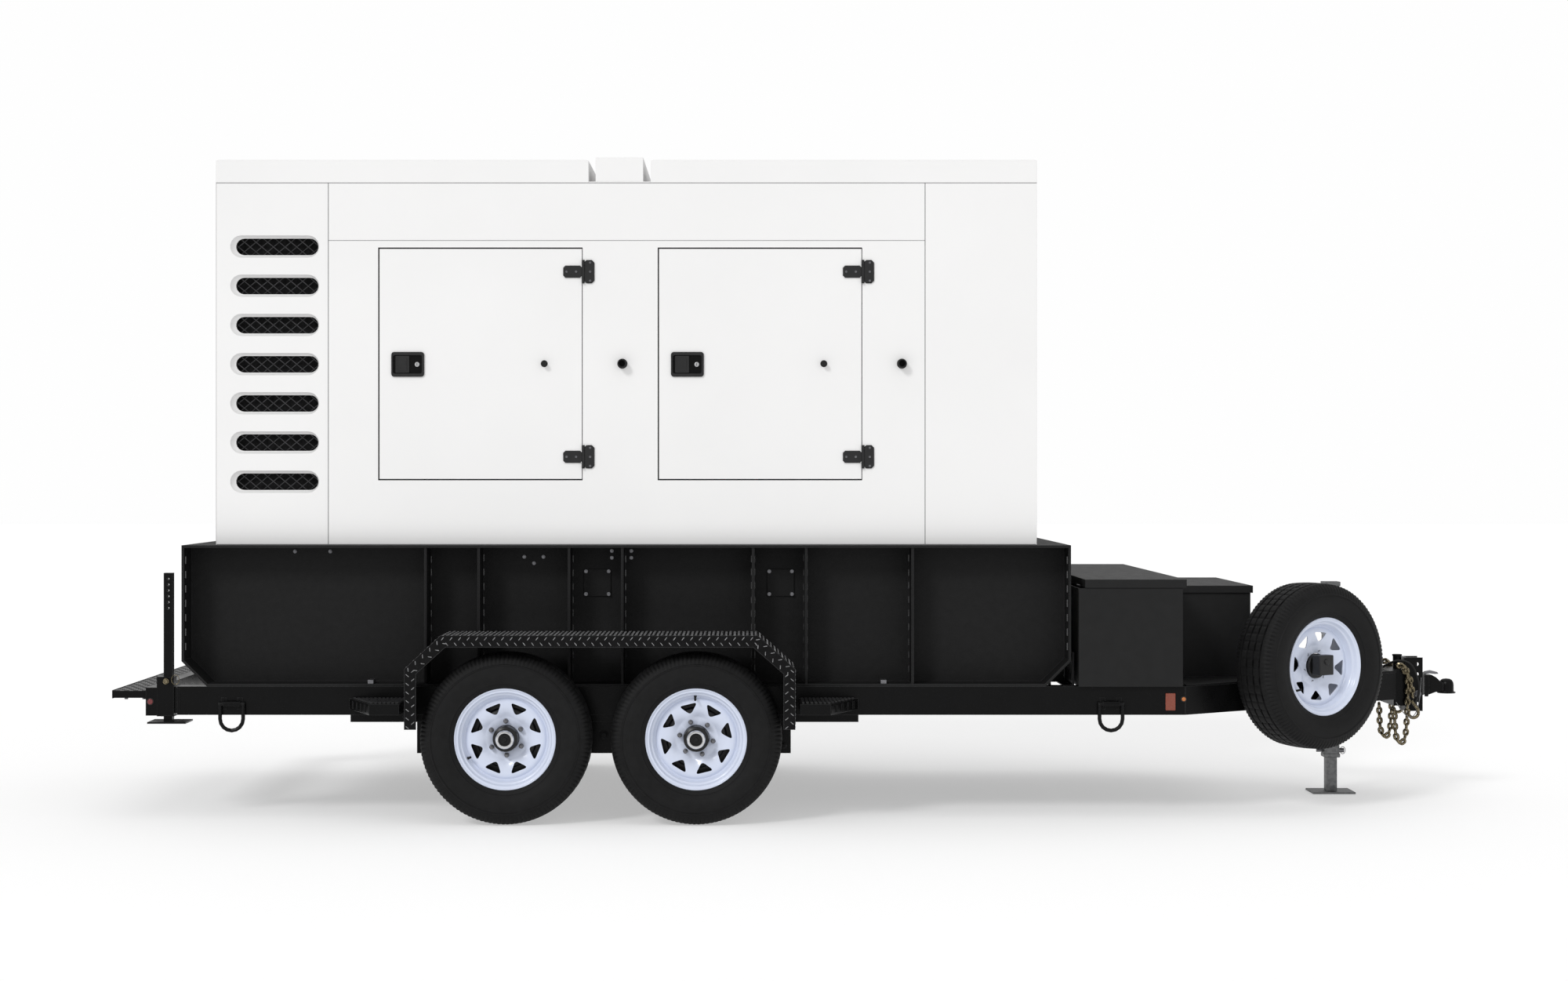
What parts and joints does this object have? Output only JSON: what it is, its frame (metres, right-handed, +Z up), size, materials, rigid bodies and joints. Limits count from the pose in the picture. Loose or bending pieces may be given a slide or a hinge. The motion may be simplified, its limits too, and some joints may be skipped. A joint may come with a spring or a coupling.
{
  "type": "towable diesel generator",
  "caption": "Sound-attenuated diesel generator in a white enclosure on a black tandem-axle trailer with fuel tank base, tool boxes, spare wheel and tongue jack.",
  "frame": {"origin": "on the ground and on the centre line, 11.5 mm ahead of the middle of the footprint", "axes": "+X towards the tow coupler, +Z up, the side with the spare wheel is -Y"},
  "size_m": [5.853, 2.34, 2.764],
  "materials": {
    "frame_black": "gloss",
    "tank_black": "textured",
    "housing_white": "satin",
    "box_grey": "textured",
    "tread_plate": "gloss, raised bars",
    "tyre_rubber": "matte",
    "wheel_white": "satin",
    "galvanised": "zinc spangle",
    "yellow_zinc": "yellow passivate",
    "steel_cable": "stranded",
    "black_plastic": "satin",
    "engine_iron": "painted casting",
    "radiator_alloy": "finned",
    "panel_grey": "satin"
  },
  "bodies": {
    "chassis": {"alternator": "engine_iron", "breakaway_cable": "steel_cable", "control_panel": "panel_grey", "coupler": "frame_black", "engine": "engine_iron", "front_axle": "frame_black", "front_box": "box_grey", "front_roof": "housing_white", "front_section": "housing_white", "fuel_tank": "tank_black", "jack_tube": "galvanised", "left_fender": "tread_plate", "left_rail": "frame_black", "left_safety_chain": "yellow_zinc", "left_side_panel": "housing_white", "left_tongue_beam": "frame_black", "lifting_bay_cover": "housing_white", "louvre_section": "housing_white", "main_box": "box_grey", "muffler": "galvanised", "radiator": "radiator_alloy", "rear_axle": "frame_black", "rear_crossmember": "frame_black", "rear_roof": "housing_white", "right_fender": "tread_plate", "right_rail": "frame_black", "right_safety_chain": "yellow_zinc", "right_side_panel": "housing_white", "right_tongue_beam": "frame_black", "spare_tyre": "tyre_rubber", "spare_wheel": "wheel_white", "tongue_nose": "frame_black"},
    "right_rear_wheel_assembly": {"right_rear_tyre": "tyre_rubber", "right_rear_wheel": "wheel_white"},
    "right_rear_door_leaf": {"right_rear_door": "housing_white"},
    "right_rear_latch": {"right_rear_latch_paddle": "black_plastic"},
    "right_rear_ring": {"right_rear_tie_down_ring": "frame_black"},
    "right_front_wheel_assembly": {"right_front_tyre": "tyre_rubber", "right_front_wheel": "wheel_white"},
    "right_front_door_leaf": {"right_front_door": "housing_white"},
    "right_front_latch": {"right_front_latch_paddle": "black_plastic"},
    "right_front_ring": {"right_front_tie_down_ring": "frame_black"},
    "right_stabiliser": {"right_stabiliser_leg": "frame_black"},
    "left_rear_wheel_assembly": {"left_rear_tyre": "tyre_rubber", "left_rear_wheel": "wheel_white"},
    "left_rear_door_leaf": {"left_rear_door": "housing_white"},
    "left_rear_latch": {"left_rear_latch_paddle": "black_plastic"},
    "left_rear_ring": {"left_rear_tie_down_ring": "frame_black"},
    "left_front_wheel_assembly": {"left_front_tyre": "tyre_rubber", "left_front_wheel": "wheel_white"},
    "left_front_door_leaf": {"left_front_door": "housing_white"},
    "left_front_latch": {"left_front_latch_paddle": "black_plastic"},
    "left_front_ring": {"left_front_tie_down_ring": "frame_black"},
    "left_stabiliser": {"left_stabiliser_leg": "frame_black"},
    "main_lid": {"main_box_lid": "box_grey"},
    "front_lid": {"front_box_lid": "box_grey"},
    "jack_drop_leg": {"jack_leg": "galvanised"},
    "jack_handle": {"jack_crank": "galvanised"},
    "latch_lever": {"coupler_latch": "frame_black"},
    "fan": {"cooling_fan": "black_plastic"}
  },
  "joints": [
    {"name": "right_rear_wheel_spin", "type": "hinge", "parent": "chassis", "child": "right_rear_wheel_assembly", "pos_m": [-1.274, -1.015, 0.352], "axis": [0, 1, 0], "continuous": true},
    {"name": "right_rear_door_hinge", "type": "hinge", "parent": "chassis", "child": "right_rear_door_leaf", "pos_m": [-0.974, -0.806, 1.9], "axis": [0, 0, 1], "range_deg": [0, 160]},
    {"name": "right_rear_latch_pull", "type": "hinge", "parent": "right_rear_door_leaf", "child": "right_rear_latch", "pos_m": [-1.766, -0.8, 1.895], "axis": [0, 0, -1], "range_deg": [0, 40], "stiffness_Nm_per_rad": 0.6},
    {"name": "right_rear_ring_swing", "type": "hinge", "parent": "chassis", "child": "right_rear_ring", "pos_m": [-2.4325, -0.892, 0.478], "axis": [-1, 0, 0], "range_deg": [0, 100]},
    {"name": "right_front_wheel_spin", "type": "hinge", "parent": "chassis", "child": "right_front_wheel_assembly", "pos_m": [-0.494, -1.015, 0.352], "axis": [0, 1, 0], "continuous": true},
    {"name": "right_front_door_hinge", "type": "hinge", "parent": "chassis", "child": "right_front_door_leaf", "pos_m": [0.2, -0.806, 1.9], "axis": [0, 0, 1], "range_deg": [0, 160]},
    {"name": "right_front_latch_pull", "type": "hinge", "parent": "right_front_door_leaf", "child": "right_front_latch", "pos_m": [-0.592, -0.8, 1.895], "axis": [0, 0, -1], "range_deg": [0, 40], "stiffness_Nm_per_rad": 0.6},
    {"name": "right_front_ring_swing", "type": "hinge", "parent": "chassis", "child": "right_front_ring", "pos_m": [1.229, -0.892, 0.478], "axis": [-1, 0, 0], "range_deg": [0, 100]},
    {"name": "right_stabiliser_drop", "type": "slide", "parent": "chassis", "child": "right_stabiliser", "axis": [0, 0, -1], "range_m": [0, 0.39]},
    {"name": "left_rear_wheel_spin", "type": "hinge", "parent": "chassis", "child": "left_rear_wheel_assembly", "pos_m": [-1.274, 1.015, 0.352], "axis": [0, 1, 0], "continuous": true},
    {"name": "left_rear_door_hinge", "type": "hinge", "parent": "chassis", "child": "left_rear_door_leaf", "pos_m": [-0.974, 0.806, 1.9], "axis": [0, 0, -1], "range_deg": [0, 160]},
    {"name": "left_rear_latch_pull", "type": "hinge", "parent": "left_rear_door_leaf", "child": "left_rear_latch", "pos_m": [-1.766, 0.8, 1.895], "axis": [0, 0, 1], "range_deg": [0, 40], "stiffness_Nm_per_rad": 0.6},
    {"name": "left_rear_ring_swing", "type": "hinge", "parent": "chassis", "child": "left_rear_ring", "pos_m": [-2.4325, 0.892, 0.478], "axis": [1, 0, 0], "range_deg": [0, 100]},
    {"name": "left_front_wheel_spin", "type": "hinge", "parent": "chassis", "child": "left_front_wheel_assembly", "pos_m": [-0.494, 1.015, 0.352], "axis": [0, 1, 0], "continuous": true},
    {"name": "left_front_door_hinge", "type": "hinge", "parent": "chassis", "child": "left_front_door_leaf", "pos_m": [0.2, 0.806, 1.9], "axis": [0, 0, -1], "range_deg": [0, 160]},
    {"name": "left_front_latch_pull", "type": "hinge", "parent": "left_front_door_leaf", "child": "left_front_latch", "pos_m": [-0.592, 0.8, 1.895], "axis": [0, 0, 1], "range_deg": [0, 40], "stiffness_Nm_per_rad": 0.6},
    {"name": "left_front_ring_swing", "type": "hinge", "parent": "chassis", "child": "left_front_ring", "pos_m": [1.229, 0.892, 0.478], "axis": [1, 0, 0], "range_deg": [0, 100]},
    {"name": "left_stabiliser_drop", "type": "slide", "parent": "chassis", "child": "left_stabiliser", "axis": [0, 0, -1], "range_m": [0, 0.39]},
    {"name": "main_lid_hinge", "type": "hinge", "parent": "chassis", "child": "main_lid", "pos_m": [1.12, 0, 0.961], "axis": [0, -1, 0], "range_deg": [0, 85]},
    {"name": "front_lid_hinge", "type": "hinge", "parent": "chassis", "child": "front_lid", "pos_m": [1.5635, 0, 0.919], "axis": [0, -1, 0], "range_deg": [0, 72]},
    {"name": "jack_leg_slide", "type": "slide", "parent": "chassis", "child": "jack_drop_leg", "axis": [0, 0, 1], "range_m": [0, 0.15]},
    {"name": "jack_crank_turn", "type": "hinge", "parent": "chassis", "child": "jack_handle", "pos_m": [2.3455, 0, 0.9], "axis": [0, 1, 0], "continuous": true},
    {"name": "coupler_latch_lift", "type": "hinge", "parent": "chassis", "child": "latch_lever", "pos_m": [2.765, 0, 0.526], "axis": [0, -1, 0], "range_deg": [0, 60]},
    {"name": "cooling_fan_spin", "type": "hinge", "parent": "chassis", "child": "fan", "pos_m": [0.33, 0, 1.62], "axis": [1, 0, 0], "continuous": true}
  ]
}
